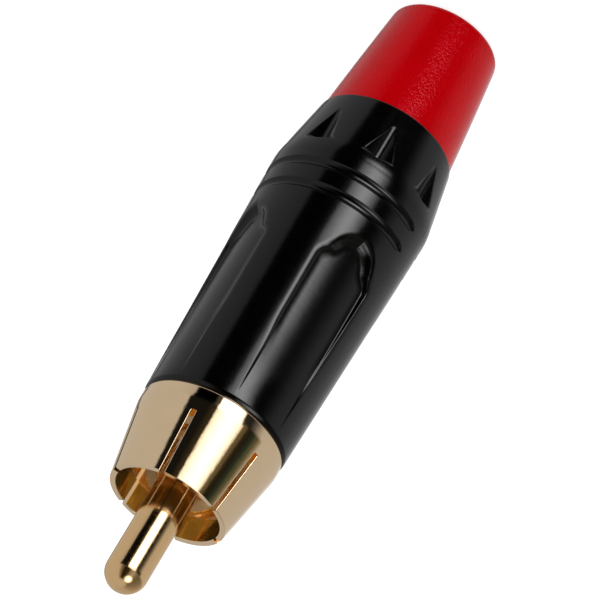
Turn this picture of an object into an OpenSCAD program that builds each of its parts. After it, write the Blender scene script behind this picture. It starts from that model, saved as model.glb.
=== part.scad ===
// Cable-mount phono plug, standing on the end of its boot with the pin up.
// Millimetres. The origin is on the plug's axis at the boot's end, and +Z runs towards the pin's tip.
// Every piece is turned or moulded round that axis, so most of them are revolved profiles with cuts.

/* [Lengths along the plug] */
// Length of the boot that shows behind the shell
boot_len = 10.8; // [8:0.1:16]
// Length of the shell
shell_len = 27.95; // [26:0.05:34]
// Length of the contact's flange, between shell and skirt
flange_len = 1.05; // [0.4:0.05:2]
// Length of the slotted skirt in front of its flange
skirt_len = 6; // [5.6:0.1:8]
// Length of the pin that stands past the skirt's mouth
pin_reach = 7.6; // [4:0.1:10]

/* [Shell] */
// Diameter of the shell at its front face
shell_front_d = 11.42; // [11.2:0.02:13]
// Diameter of the shell at its widest, where it bends
shell_bend_d = 13.02; // [12.6:0.02:15]
// Diameter of the shell at its rear face
shell_rear_d = 11.18; // [11:0.02:12.4]
// Distance from the rear face to the bend
shell_bend_at = 5.7; // [5:0.1:9]
// Radius that softens the bend
shell_bend_r = 5; // [1:0.5:10]
// Chamfer on the shell's rear edge
shell_edge = 0.12; // [0.05:0.01:0.3]
// Length of the chamfer on the shell's front edge
front_edge_len = 0.23; // [0.05:0.01:0.4]
// Radial height of that chamfer
front_edge_h = 0.16; // [0.05:0.01:0.25]
// Depth of the rear chamber, from the rear face to the inner web
rear_chamber_len = 10.2; // [9.6:0.1:10.6]
// Thickness of the web between the two chambers
web_t = 1; // [0.6:0.1:1.2]
// Diameter of the hole through the web
web_hole_d = 7.4; // [7:0.1:8]
// Chamfer at the mouth of each threaded bore
mouth_chamfer = 0.25; // [0.1:0.05:0.4]

/* [Arched recesses] */
// Number of arched recesses round the shell
arch_count = 4; // [2:1:4]
// Azimuth of the first arched recess, in degrees
arch_phase = 45; // [0:1:90]
// Distance from the bend to the top of the arch
arch_top_at = 5.8; // [5.4:0.1:8]
// Radius of the arch's crown, at the shell's surface
arch_crown_r = 2; // [1.5:0.05:2.2]
// Length of the neck between the crown's centre and the shoulders
arch_neck = 0.4; // [0.3:0.1:2]
// Half width of the recess below its shoulders, in degrees round the axis
arch_half_angle = 25.5; // [22:0.5:32]
// Run of the sloping wall, along the surface
arch_wall = 0.3; // [0.2:0.01:0.5]
// Run of the crown's sloping wall
arch_crown_wall = 0.5; // [0.3:0.05:0.8]
// Depth of the recess at its crown
arch_depth = 0.48; // [0.3:0.01:0.52]

/* [Ring grooves] */
// Number of grooves one behind the other
groove_count = 2; // [1:1:2]
// Distance from the bend to the first groove
groove_at = 1.75; // [1.2:0.05:2]
// Distance from groove to groove
groove_pitch = 2.04; // [1.2:0.02:2.2]
// Width of a groove, at the shell's surface
groove_w = 0.8; // [0.6:0.02:1]
// Depth of a groove
groove_depth = 0.25; // [0.15:0.01:0.3]
// Run of the groove's sloping wall, along the surface
groove_wall = 0.2; // [0.05:0.01:0.2]
// Ledge where the groove's round end starts
groove_ledge = 0.02; // [0.01:0.01:0.05]
// How far each of the two arcs of a groove runs round the shell, in degrees
groove_sweep = 142.6; // [90:0.2:160]

/* [Triangular notches] */
// Number of notches round the shell
notch_count = 8; // [4:1:8]
// Azimuth of the first notch, in degrees
notch_phase = 22.5; // [0:0.5:45]
// Distance from the bend back to the notch's square end
notch_at = 0.55; // [0.4:0.05:1]
// Width of the notch at its square end
notch_w = 2.9; // [2:0.1:3.4]
// Depth of the notch at its square end
notch_depth = 0.67; // [0.4:0.01:0.7]
// Width of the notch's flat floor
notch_floor_w = 0.6; // [0.2:0.05:0.8]
// How far the floor leans outwards towards the boot, in degrees
notch_tilt = 1.7; // [0:0.1:3]

/* [Boot] */
// Diameter of the boot where it meets the shell
boot_front_d = 10.82; // [10.4:0.02:11.1]
// Diameter of the boot's end
boot_end_d = 8.88; // [8.4:0.02:10]
// Radius on the edge of the boot's end
boot_end_r = 0.5; // [0.2:0.05:0.8]
// Diameter of the hole for the cable
cable_d = 6.2; // [6.2:0.1:6.5]
// Chamfer on both ends of the cable hole
cable_chamfer = 0.2; // [0.1:0.05:0.4]
// Thickness of the boot's end wall, along the cable
boot_wall_t = 5.5; // [2:0.1:6]
// Length of the cone that closes the chuck
boot_cone_len = 4; // [3:0.1:5]
// Diameter of the boot's hollow
boot_bore_d = 8.1; // [7.9:0.1:8.4]

/* [Screw joints] */
// Outer diameter of the boot's thread
boot_thread_d = 9.7; // [9.5:0.1:9.9]
// Length of the boot's thread
boot_thread_len = 5.25; // [3:0.05:6.5]
// Outer diameter of the contact's thread
contact_thread_d = 9.9; // [9.6:0.1:10.1]
// Length of the contact's thread
contact_thread_len = 5.25; // [5:0.05:6]
// Diameter taken off in the run-out behind a thread's shoulder
runout_cut = 0.6; // [0.2:0.1:0.8]
// Length of that run-out
runout_len = 0.5; // [0.3:0.1:1]
// Radial clearance between a thread and its bore
thread_clear = 0.05; // [0.02:0.01:0.1]

/* [Ground contact] */
// Outer diameter of the skirt at its mouth
skirt_mouth_d = 9.22; // [9:0.02:9.8]
// Diameter of the flange
flange_d = 11.3; // [11.2:0.1:12]
// Length of the bevel on the flange's side towards the shell
flange_bevel_len = 0.25; // [0.05:0.05:0.35]
// Radial height of that bevel
flange_bevel_h = 0.12; // [0.05:0.01:0.15]
// Inner diameter of the skirt's gripping lip
skirt_bore_d = 8.3; // [8.2:0.05:8.5]
// Length of the gripping lip
skirt_lip_len = 2; // [1:0.1:3]
// Radial relief behind the lip
skirt_relief = 0.15; // [0.05:0.05:0.25]
// Rounding on the mouth's outer edge
skirt_edge = 0.12; // [0.05:0.01:0.2]
// Number of slots that make the skirt springy
slot_count = 6; // [3:1:8]
// Azimuth of the first slot, in degrees
slot_phase = 28; // [0:1:60]
// Width of a slot
slot_w = 0.35; // [0.25:0.05:0.8]
// Length of a slot, from the mouth
slot_len = 5.05; // [3:0.05:5.4]
// Depth from the mouth to the insulator's face
socket_depth = 5.8; // [5.6:0.1:6.4]
// Length of the inner shoulder that stops the insulator
stop_len = 0.5; // [0.3:0.1:1]
// Radial height of that shoulder
stop_h = 0.4; // [0.2:0.1:0.6]
// Inner diameter of the contact's threaded end
contact_bore_d = 8; // [7.8:0.1:8.2]
// Radial height of the rim rolled over the stack of inner pieces
rim_h = 0.5; // [0.2:0.1:0.5]
// Thickness of the rolled rim
rim_t = 0.4; // [0.3:0.1:0.6]

/* [Centre pin] */
// Diameter of the pin
pin_d = 3.2; // [3:0.05:3.3]
// Diameter of the pin's seat in the insulator
pin_seat_d = 3.8; // [3.6:0.1:4]
// Diameter of the collar that holds the pin
collar_d = 4.8; // [4.4:0.1:5.2]
// Length of the collar
collar_len = 2; // [1:0.1:2.4]
// Diameter of the pin's rear stem
stem_d = 2.6; // [2.2:0.1:3]
// Length of the stem behind the collar
stem_len = 8.4; // [7:0.1:8.6]
// Diameter of the solder cup's bore
cup_d = 1.7; // [1.2:0.1:1.8]
// Depth of the solder cup
cup_depth = 4.5; // [3:0.1:6]
// Length of the cup that is cut open to take the solder
cup_open_len = 2.8; // [1:0.1:3]

/* [Insulators and solder lug] */
// Thickness of the insulating washer behind the collar
washer_t = 0.8; // [0.5:0.1:1.2]
// Thickness of the lug's sheet metal
lug_t = 0.4; // [0.3:0.05:0.5]
// Inner diameter of the lug's ring
lug_ring_hole_d = 4.8; // [4.2:0.1:5.4]
// Inner diameter of the lug's strip and crimp wings
lug_inner_d = 5.9; // [5.9:0.1:6]
// Width of the strip between ring and wings, in degrees round the axis
strip_angle = 40; // [30:1:60]
// Gap between the crimp wings and the shell's web
wing_gap = 0.35; // [0.2:0.05:1]
// Length of the crimp wings
wing_len = 3.6; // [2:0.1:3.8]
// Width of the wings and what joins them, in degrees round the axis
wing_angle = 250; // [180:1:280]
// Outer diameter of the sleeve round the solder joints
sleeve_d = 9.5; // [9.2:0.1:9.5]
// Wall of that sleeve
sleeve_t = 0.45; // [0.3:0.05:0.6]
// Radial clearance between the sleeve and the shell's front chamber
sleeve_clear = 0.1; // [0.05:0.01:0.15]
// Gap between the sleeve and the shell's web
sleeve_gap = 0.5; // [0.2:0.1:1]
// Diameter of the hole in the strip for a wire
wire_hole_d = 1.2; // [0.8:0.1:1.4]
// Azimuth of the lug's strip, opposite the solder cup's opening, in degrees
strip_phase = 180; // [0:15:345]
// Play between pieces of one stack, across the axis
stack_clear = 0.02; // [0.01:0.01:0.05]

/* [Cable chuck] */
// Length of the chuck
chuck_len = 13.8; // [12.4:0.1:14.6]
// Length of its collar
chuck_collar_len = 2.4; // [1.5:0.1:3.5]
// Radial clearance between the collar and the shell
chuck_clear = 0.1; // [0.05:0.01:0.15]
// Inner diameter of the chuck
chuck_bore_d = 6.2; // [6.2:0.1:6.4]
// Outer diameter of the fingers
finger_d = 7.5; // [7.4:0.1:7.7]
// Length of the fingers' thicker heads
finger_head_len = 2.6; // [2:0.1:3]
// Number of fingers
finger_count = 6; // [4:1:8]
// Width of the slot between fingers
finger_gap = 0.7; // [0.5:0.1:1]
// Number of gripping ridges inside the heads
ridge_count = 3; // [1:1:3]
// Height of a gripping ridge
ridge_h = 0.14; // [0.05:0.01:0.14]
// Clearance between the fingers' heads and the boot's cone
cone_clear = 0.05; // [0.02:0.01:0.1]

/* [Hidden] */

$fn = 96;
// How far a cutting shape reaches past what it cuts
eps = 0.1;
// Steps in each rounded edge of a profile
arc_steps = 4;

// Heights above the boot's end, from the rear to the tip
chuck_front_z = boot_len + rear_chamber_len;
chuck_rear_z = chuck_front_z - chuck_len;
boot_thread_z = boot_len + boot_thread_len;
bend_z = boot_len + shell_bend_at;
web_z = chuck_front_z + web_t;
shell_front_z = boot_len + shell_len;
cone_z = shell_front_z + flange_len;
mouth_z = cone_z + skirt_len;
tip_z = mouth_z + pin_reach;

// Heights of the stack that the contact's rolled rim holds
contact_rear_z = shell_front_z - contact_thread_len;
lug_z = contact_rear_z + rim_t;
washer_z = lug_z + lug_t;
insulator_z = washer_z + washer_t;
collar_z = insulator_z + collar_len;
socket_z = mouth_z - socket_depth;
stop_z = socket_z - stop_len;
stem_rear_z = insulator_z - stem_len;
wing_rear_z = web_z + wing_gap;
wing_z = wing_rear_z + wing_len;

// Bores of the shell, from what runs in them
front_thread_bore_d = contact_thread_d + 2 * thread_clear;
rear_bore_d = boot_thread_d + 2 * thread_clear;
front_chamber_d = sleeve_d + 2 * sleeve_clear;

// Shell radius at a height, by the cone that the height lies on
function shell_r(z) = z > bend_z
  ? lerp(shell_bend_d, shell_front_d, (z - bend_z) / (shell_front_z - bend_z)) / 2
  : lerp(shell_rear_d, shell_bend_d, (z - boot_len) / shell_bend_at) / 2;
// Radius of the boot's hollow at a height: its cone, then its bore
function boot_hollow_r(z) =
  min(boot_bore_d, lerp(cable_d, boot_bore_d, (z - boot_wall_t) / boot_cone_len)) / 2;

function lerp(a, b, t) = a + (b - a) * t;
// Point at a given x on the line through two points
function along(a, b, x) = lerp(a, b, (x - a.x) / (b.x - a.x));
function polar(r, angle) = [r * cos(angle), r * sin(angle)];
function point_angle(p) = atan2(p.y, p.x);
// Signed turn from one direction to another, between -180 and 180 degrees
function turn(from, to) = (to - from + 540) % 360 - 180;

// Points of the arc of radius r that rounds corner b of the path a, b, c
function rounded(a, b, c, r) =
  let(
    u = (a - b) / norm(a - b),
    v = (c - b) / norm(c - b),
    half = acos(u * v) / 2,
    centre = b + (u + v) / norm(u + v) * r / sin(half),
    first = point_angle(b + u * r / tan(half) - centre),
    sweep = turn(first, point_angle(b + v * r / tan(half) - centre))
  )
  [for (i = [0 : arc_steps]) centre + polar(r, first + sweep * i / arc_steps)];

// Solid of revolution from a list of [radius, height] points
module turned(profile) {
  rotate_extrude() polygon(profile);
}

// Ring between two diameters, from one height to another
module ring(outer_d, inner_d, z0, z1) {
  turned([
    [inner_d / 2, z0], [outer_d / 2, z0], [outer_d / 2, z1], [inner_d / 2, z1]
  ]);
}

// Slice of a disc, centred on an azimuth
module sector(d, z0, z1, azimuth, angle) {
  rotate([0, 0, azimuth - angle / 2])
    rotate_extrude(angle = angle)
      translate([0, z0]) square([d / 2, z1 - z0]);
}

// Copies round the axis at even steps
module around(count, phase) {
  for (i = [0 : count - 1])
    rotate([0, 0, phase + 360 / count * i]) children();
}

// Radial slots of one width through a tube's wall
module radial_slots(count, phase, width, reach, z0, z1) {
  around(count, phase)
    translate([0, -width / 2, z0]) cube([reach, width, z1 - z0]);
}

module shell() {
  color("#17181a")
    difference() {
      shell_blank();
      around(arch_count, arch_phase) arched_recess();
      around(notch_count, notch_phase) triangular_notch();
      for (i = [0 : groove_count - 1])
        ring_groove(bend_z + groove_at + groove_pitch * i);
    }
}

// Two cones that meet at the soft bend, over two stepped chambers with a web between them
module shell_blank() {
  front = [shell_front_d / 2, shell_front_z];
  bend = [shell_bend_d / 2, bend_z];
  rear = [shell_rear_d / 2, boot_len];
  front_bore_r = front_thread_bore_d / 2;
  rear_bore_r = rear_bore_d / 2;
  chamber_r = front_chamber_d / 2;
  turned(concat(
    [
      [rear_bore_r + mouth_chamfer, boot_len],
      rear - [shell_edge, 0],
      rear + [0, shell_edge]
    ],
    rounded(rear, bend, front, shell_bend_r),
    [
      lerp(front, bend, front_edge_len / norm(front - bend)),
      front - [front_edge_h, 0],
      [front_bore_r + mouth_chamfer, shell_front_z],
      [front_bore_r, shell_front_z - mouth_chamfer],
      [front_bore_r, contact_rear_z],
      [chamber_r, contact_rear_z],
      [chamber_r, web_z],
      [web_hole_d / 2, web_z],
      [web_hole_d / 2, chuck_front_z],
      [rear_bore_r, chuck_front_z],
      [rear_bore_r, boot_len + mouth_chamfer]
    ]
  ));
}

// Sloping walls round a floor that is a cylinder about the shell's axis, so that the recess
// runs out by itself where the shell's cone has narrowed to the floor
module arched_recess() {
  crown_z = bend_z + arch_top_at + arch_crown_r;
  shoulder_z = crown_z + arch_neck;
  rim_r = shell_r(crown_z);
  floor_r = rim_r - arch_depth;
  wall_angle = arch_wall / rim_r * 180 / PI;
  floor_corner = polar(floor_r, arch_half_angle - wall_angle);
  rim_corner = polar(shell_r(shoulder_z), arch_half_angle);
  crown_slope = arch_crown_wall / arch_depth;
  inner_x = floor_corner.x - eps;
  outer_x = rim_r + 1;
  function crown_y(x) = arch_crown_r + (x - rim_r) * crown_slope;
  difference() {
    union() {
      translate([0, 0, shoulder_z])
        linear_extrude(shell_front_z - shoulder_z + eps)
          wedge(
            along(floor_corner, rim_corner, inner_x), along(floor_corner, rim_corner, outer_x)
          );
      translate([0, 0, crown_z])
        linear_extrude(arch_neck + eps)
          wedge([inner_x, crown_y(inner_x)], [outer_x, crown_y(outer_x)]);
      translate([inner_x, 0, crown_z])
        rotate([0, 90, 0])
          half_cone(outer_x - inner_x, crown_y(inner_x), crown_y(outer_x));
    }
    translate([0, 0, bend_z])
      cylinder(h = shell_front_z - bend_z + 2 * eps, r = floor_r);
  }
}

// Half of a cone along Z, on the side of +X
module half_cone(h, r1, r2) {
  rotate([0, 0, -90])
    rotate_extrude(angle = 180) polygon([[0, 0], [r1, 0], [r2, h], [0, h]]);
}

// Four-sided outline that is symmetric about X, from one corner of each end
module wedge(inner, outer) {
  polygon([inner, outer, [outer.x, -outer.y], [inner.x, -inner.y]]);
}

// Flat-floored cut with sloping sides and a square front end, which runs out where the rear cone
// narrows to its floor
module triangular_notch() {
  end_z = bend_z - notch_at;
  end_r = shell_r(end_z);
  floor_r = end_r - notch_depth;
  floor_corner = [0, notch_floor_w / 2];
  rim_corner = polar(end_r, asin(notch_w / 2 / end_r)) - [floor_r, 0];
  reach = lerp(floor_corner, rim_corner, 3);
  length = end_z - boot_len + eps;
  translate([floor_r, 0, end_z])
    rotate([0, -notch_tilt, 0])
      translate([0, 0, -length])
        linear_extrude(length) wedge(floor_corner, reach);
}

// Groove in two arcs, with sloping walls. A ledge all round sets off each arc's round end.
module ring_groove(z) {
  surface_r = shell_r(z);
  floor_r = surface_r - groove_depth;
  end_floor_r = floor_r + groove_ledge;
  outer_r = surface_r + groove_depth;
  function half_w(r) = groove_w / 2 + (r - surface_r) * groove_wall / groove_depth;
  for (azimuth = [90, 270]) {
    rotate([0, 0, azimuth - groove_sweep / 2])
      rotate_extrude(angle = groove_sweep)
        translate([0, z]) wedge([floor_r, half_w(floor_r)], [outer_r, half_w(outer_r)]);
    for (side = [-1, 1])
      rotate([0, 90, azimuth + side * groove_sweep / 2])
        translate([-z, 0, end_floor_r])
          cylinder(
            h = outer_r - end_floor_r,
            r1 = half_w(end_floor_r) - groove_ledge,
            r2 = half_w(outer_r) - groove_ledge
          );
  }
}

module boot() {
  end = [boot_end_d / 2, 0];
  front = [boot_front_d / 2, boot_len];
  thread_r = boot_thread_d / 2;
  runout_r = thread_r - runout_cut / 2;
  cable_r = cable_d / 2;
  bore_r = boot_bore_d / 2;
  color("#b50a14")
    turned(concat(
      [[cable_r + cable_chamfer, 0]],
      rounded([cable_r, 0], end, front, boot_end_r),
      [
        front,
        [runout_r, boot_len],
        [runout_r, boot_len + runout_len],
        [thread_r, boot_len + runout_len],
        [thread_r, boot_thread_z - mouth_chamfer],
        [thread_r - mouth_chamfer, boot_thread_z],
        [bore_r, boot_thread_z],
        [bore_r, boot_wall_t + boot_cone_len],
        [cable_r, boot_wall_t],
        [cable_r, cable_chamfer]
      ]
    ));
}

// Collar with springy fingers, whose heads the boot's cone presses on the cable
module chuck() {
  bore_r = chuck_bore_d / 2;
  finger_r = finger_d / 2;
  collar_r = rear_bore_d / 2 - chuck_clear;
  collar_z = chuck_front_z - chuck_collar_len;
  head_z = chuck_rear_z + finger_head_len;
  cone_top_z = boot_wall_t + boot_cone_len;
  ridge_pitch = finger_head_len / (ridge_count + 1);
  color("#d9d6cc")
    difference() {
      union() {
        turned([
          [bore_r, chuck_rear_z],
          [boot_hollow_r(chuck_rear_z) - cone_clear, chuck_rear_z],
          [boot_hollow_r(cone_top_z) - cone_clear, cone_top_z],
          [boot_hollow_r(head_z) - cone_clear, head_z],
          [finger_r, head_z + boot_hollow_r(head_z) - cone_clear - finger_r],
          [finger_r, collar_z],
          [collar_r, collar_z],
          [collar_r, chuck_front_z - mouth_chamfer],
          [collar_r - mouth_chamfer, chuck_front_z],
          [bore_r, chuck_front_z]
        ]);
        for (i = [1 : ridge_count]) {
          ridge_z = chuck_rear_z + ridge_pitch * i;
          turned([
            [bore_r + eps, ridge_z - ridge_h - eps],
            [bore_r + eps, ridge_z + ridge_h + eps],
            [bore_r - ridge_h, ridge_z]
          ]);
        }
      }
      radial_slots(
        finger_count, 0, finger_gap, collar_r + eps, chuck_rear_z - eps, collar_z - finger_gap
      );
    }
}

module insulating_sleeve() {
  color("#e8e6df")
    ring(sleeve_d, sleeve_d - 2 * sleeve_t, web_z + sleeve_gap, contact_rear_z);
}

// One turned piece: slotted skirt, flange and threaded end, with its rim rolled over the stack
module ground_contact() {
  mouth_r = skirt_mouth_d / 2;
  flange_r = flange_d / 2;
  thread_r = contact_thread_d / 2;
  runout_r = thread_r - runout_cut / 2;
  lip_r = skirt_bore_d / 2;
  relief_r = lip_r + skirt_relief;
  bore_r = contact_bore_d / 2;
  color("#d8a955")
    difference() {
      turned([
        [bore_r - rim_h, contact_rear_z],
        [thread_r - mouth_chamfer, contact_rear_z],
        [thread_r, contact_rear_z + mouth_chamfer],
        [thread_r, shell_front_z - runout_len],
        [runout_r, shell_front_z - runout_len],
        [runout_r, shell_front_z],
        [flange_r - flange_bevel_h, shell_front_z],
        [flange_r, shell_front_z + flange_bevel_len],
        [flange_r, cone_z],
        lerp([mouth_r, mouth_z], [flange_r, cone_z], skirt_edge / skirt_len),
        [mouth_r - skirt_edge, mouth_z],
        [lip_r + skirt_edge, mouth_z],
        [lip_r, mouth_z - skirt_edge],
        [lip_r, mouth_z - skirt_lip_len],
        [relief_r, mouth_z - skirt_lip_len - skirt_relief],
        [relief_r, socket_z],
        [bore_r - stop_h, socket_z],
        [bore_r - stop_h, stop_z],
        [bore_r, stop_z],
        [bore_r, lug_z],
        [bore_r - rim_h, lug_z]
      ]);
      radial_slots(
        slot_count, slot_phase, slot_w, flange_r + eps, mouth_z - slot_len, mouth_z + eps
      );
    }
}

// Stepped bush that holds the pin in the middle of the contact
module insulator() {
  body_r = contact_bore_d / 2 - stack_clear;
  nose_r = contact_bore_d / 2 - stop_h - stack_clear;
  seat_r = pin_seat_d / 2 + stack_clear;
  collar_r = collar_d / 2 + stack_clear;
  color("#f2efe6")
    turned([
      [collar_r, insulator_z],
      [body_r, insulator_z],
      [body_r, stop_z],
      [nose_r, stop_z],
      [nose_r, socket_z],
      [seat_r, socket_z],
      [seat_r, collar_z],
      [collar_r, collar_z]
    ]);
}

module insulating_washer() {
  color("#c9b08a")
    ring(
      contact_bore_d - 2 * stack_clear, stem_d + 2 * stack_clear, washer_z, insulator_z
    );
}

// Ring under the rolled rim, with a strip back to the wings that are crimped round the cable.
// The strip and the wings are what is left of one tube when its open sides are cut away.
module ground_lug() {
  strip_d = lug_inner_d + 2 * lug_t;
  open_side = strip_phase + 180;
  color("#cfc9ba")
    difference() {
      union() {
        ring(contact_bore_d - 2 * stack_clear, lug_ring_hole_d, lug_z, washer_z);
        ring(strip_d, lug_inner_d, wing_rear_z, lug_z + lug_t / 2);
      }
      sector(strip_d + eps, wing_rear_z - eps, wing_z + eps, open_side, 360 - wing_angle);
      sector(strip_d + eps, wing_z, lug_z, open_side, 360 - strip_angle);
      translate([0, 0, (wing_z + lug_z) / 2])
        rotate([0, 90, strip_phase]) cylinder(h = strip_d, d = wire_hole_d);
    }
}

// Round-nosed pin with a seat and collar in the insulator, and a solder cup behind
module centre_pin() {
  pin_r = pin_d / 2;
  stem_r = stem_d / 2;
  color("#dcb062")
    difference() {
      union() {
        translate([0, 0, tip_z - pin_r]) sphere(r = pin_r);
        translate([0, 0, collar_z]) cylinder(h = tip_z - pin_r - collar_z, r = pin_r);
        translate([0, 0, collar_z]) cylinder(h = socket_z - collar_z, d = pin_seat_d);
        translate([0, 0, insulator_z]) cylinder(h = collar_len, d = collar_d);
        translate([0, 0, stem_rear_z]) cylinder(h = stem_len, r = stem_r);
      }
      translate([0, 0, stem_rear_z - eps]) cylinder(h = cup_depth + eps, d = cup_d);
      rotate([0, 0, strip_phase + 180])
        translate([0, -stem_d, stem_rear_z - eps]) cube([stem_d, 2 * stem_d, cup_open_len + eps]);
    }
}

shell();
boot();
chuck();
insulating_sleeve();
ground_contact();
insulator();
insulating_washer();
ground_lug();
centre_pin();
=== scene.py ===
import math
from collections import namedtuple

import bpy
import numpy as np
from mathutils import Matrix, Vector


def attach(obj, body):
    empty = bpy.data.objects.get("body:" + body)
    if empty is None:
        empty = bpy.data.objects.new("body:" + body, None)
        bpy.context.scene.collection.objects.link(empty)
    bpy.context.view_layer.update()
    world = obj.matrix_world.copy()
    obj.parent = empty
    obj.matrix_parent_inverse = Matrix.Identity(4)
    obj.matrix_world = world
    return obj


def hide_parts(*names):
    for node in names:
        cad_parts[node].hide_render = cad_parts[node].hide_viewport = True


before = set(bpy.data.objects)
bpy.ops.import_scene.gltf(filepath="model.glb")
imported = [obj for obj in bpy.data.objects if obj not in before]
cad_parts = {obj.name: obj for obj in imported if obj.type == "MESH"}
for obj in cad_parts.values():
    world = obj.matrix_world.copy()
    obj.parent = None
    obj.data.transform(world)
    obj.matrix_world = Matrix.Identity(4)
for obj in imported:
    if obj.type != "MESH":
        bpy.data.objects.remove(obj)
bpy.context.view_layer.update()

# Lengths are in millimetres up to the finished mesh, which is in metres
MM = 0.001
TAU = 2 * math.pi
TINY = 1e-6
STEP = 0.004  # Half the distance over which slopes are measured

# A saw cut in a turned piece from height start to height end, at each azimuth in degrees. Its sides
# are parallel, or it takes the whole half on that side where width is None. lip rounds its outer
# edges, and flare its corners at the height of the mouth.
Cut = namedtuple("Cut", "azimuths width start end lip flare mouth", defaults=(0.0, 0.0, 0.0))
# A right-handed screw thread. Its depth is negative in a nut, where it goes outwards.
Thread = namedtuple("Thread", "start end depth pitch", defaults=(0.75,))


# Meshes: revolved outlines with rounded corners, saw cuts and screw threads. An outline is a list
# of rows (radius, height, normal's radial part, normal's height part).

CORNER_SHARE = 0.46  # The most of an outline's side that one rounded corner takes
STRAIGHT = 0.01  # A bend below this, in radians, isn't rounded
UPRIGHT = 0.99  # A side with more than this of its normal in the radial part takes a thread
THREAD_FLAT, THREAD_FLANK = 0.14, 0.72  # Shares of half a turn
THREAD_RUN_OUT = 0.45
THREAD_STEPS = 12  # Per turn
LIP_TILTS = np.radians([60, 40, 20, 0])
LIP_RUN_IN = (0.05, 0.12)  # Heights above a cut's start, where its lips set in
FLARE_SPLITS = (1, 0.6, 0.3, 0.12)


def corner(a, b, c, radius, steps):
    """Rows that round corner b of the outline a, b, c."""
    a, b, c = map(np.array, (a, b, c))
    d1, d2 = (b - a) / np.linalg.norm(b - a), (c - b) / np.linalg.norm(c - b)
    n1, n2 = np.array([d1[1], -d1[0]]), np.array([d2[1], -d2[0]])
    bend = math.atan2(d1[0] * d2[1] - d1[1] * d2[0], d1 @ d2)
    if radius == 0 or abs(bend) < STRAIGHT:
        n = (n1 + n2) / np.linalg.norm(n1 + n2)
        return [(*b, *n)]
    reach = min(np.linalg.norm(b - a), np.linalg.norm(c - b)) * CORNER_SHARE
    radius = min(radius, reach / math.tan(abs(bend) / 2))
    side = math.copysign(1, bend)
    centre = b - d1 * radius * math.tan(abs(bend) / 2) - n1 * radius * side
    start = math.atan2(n1[1], n1[0])
    rows = []
    for k in range(steps + 1):
        t = start + bend * k / steps
        n = np.array([math.cos(t), math.sin(t)])
        rows.append((*(centre + n * radius * side), *n))
    return rows


def outline(points, radius=0.05, steps=3, closed=True):
    """Rounds the corners of an outline that keeps its material on the left. A third number in a
    point is its own radius, and 0 there marks a point of a smooth curve. An open outline starts and
    ends with whole rows."""
    rows = []
    n = len(points)
    for i, p in enumerate(points):
        if not closed and i in (0, n - 1):
            rows.append(p)
            continue
        own = p[2] if len(p) > 2 else radius
        rows += corner(points[i - 1][:2], p[:2], points[(i + 1) % n][:2], own, steps)
    return rows


def split(rows, heights, closed=True):
    """Adds a row wherever the outline crosses one of the heights."""
    out = []
    n = len(rows)
    for i, p in enumerate(rows):
        out.append(p)
        if not closed and i == n - 1:
            break
        q = rows[(i + 1) % n]
        low, high = min(p[1], q[1]) + TINY, max(p[1], q[1]) - TINY
        crossed = [h for h in heights if low < h < high]
        for h in sorted(crossed, reverse=bool(q[1] < p[1])):
            t = (h - p[1]) / (q[1] - p[1])
            m = [p[k] + (q[k] - p[k]) * t for k in range(4)]
            size = math.hypot(m[2], m[3])
            out.append((m[0], h, m[2] / size, m[3] / size))
    return out


def thread_depth(z, azimuth, thread):
    """How far a thread's flank lies below its crest."""
    t = (z / thread.pitch - azimuth / TAU) % 1.0
    flank = np.clip((np.abs(t - 0.5) * 2 - THREAD_FLAT) / THREAD_FLANK, 0, 1)
    fade = (np.clip((z - thread.start) / THREAD_RUN_OUT, 0, 1)
            * np.clip((thread.end - z) / THREAD_RUN_OUT, 0, 1))
    return thread.depth * (1 - flank) * fade * fade * (3 - 2 * fade)


def slopes(shape, z, azimuth, *args):
    """How shape(z, azimuth, ...) changes with height and with azimuth."""
    along = shape(z + STEP, azimuth, *args) - shape(z - STEP, azimuth, *args)
    around = shape(z, azimuth + STEP, *args) - shape(z, azimuth - STEP, *args)
    return along / (2 * STEP), around / (2 * STEP)


def thread_heights(thread, steps):
    return [thread.start + (thread.end - thread.start) * k / steps for k in range(steps + 1)]


def cut_columns(r, z, columns, cut):
    """The columns' azimuths at each row, the number of the cut that each column opens or -1, and
    each column's tilt on a rounded lip."""
    azimuths = np.radians(cut.azimuths)
    safe = np.maximum(r, TINY)
    if cut.width:
        into = np.clip(1 - (cut.mouth - z) / cut.flare, 0, 1) if cut.flare else np.zeros(len(z))
        wide = cut.width / 2 + cut.flare * (1 - np.sqrt(1 - into ** 2))
        half = np.arcsin(np.minimum(1, wide / safe))
        inner, outer = 1, columns // len(azimuths)
    else:
        half = np.full(len(z), TAU / 4)
        inner, outer = columns // 2, columns // 2
    lips = [(cut.lip * (1 - math.sin(t) / math.sin(LIP_TILTS[0])), t) for t in LIP_TILTS]
    if not cut.lip:
        lips = []
    cols, opens, tilts = [], [], []

    def add(azimuth, number, tilt):
        cols.append(azimuth)
        opens.append(number)
        tilts.append(tilt)

    for k, az in enumerate(azimuths):
        after = azimuths[k + 1] if k + 1 < len(azimuths) else azimuths[0] + TAU
        for j in range(inner):
            add(az - half + 2 * half * j / inner, k, LIP_TILTS[0] if cut.lip else 0.0)
        # From this cut's edge to the next one's, with the lips at both ends
        start, end = az + half, after - half
        for x, t in lips[:-1]:
            add(start + x / safe, -1, -t)
        for j in range(outer):
            add(start + cut.lip / safe + (end - start - 2 * cut.lip / safe) * j / outer, -1, 0.0)
        for x, t in lips[:0:-1]:
            add(end - x / safe, -1, t)
    return np.stack(cols, axis=1), opens, np.array(tilts)


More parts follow.
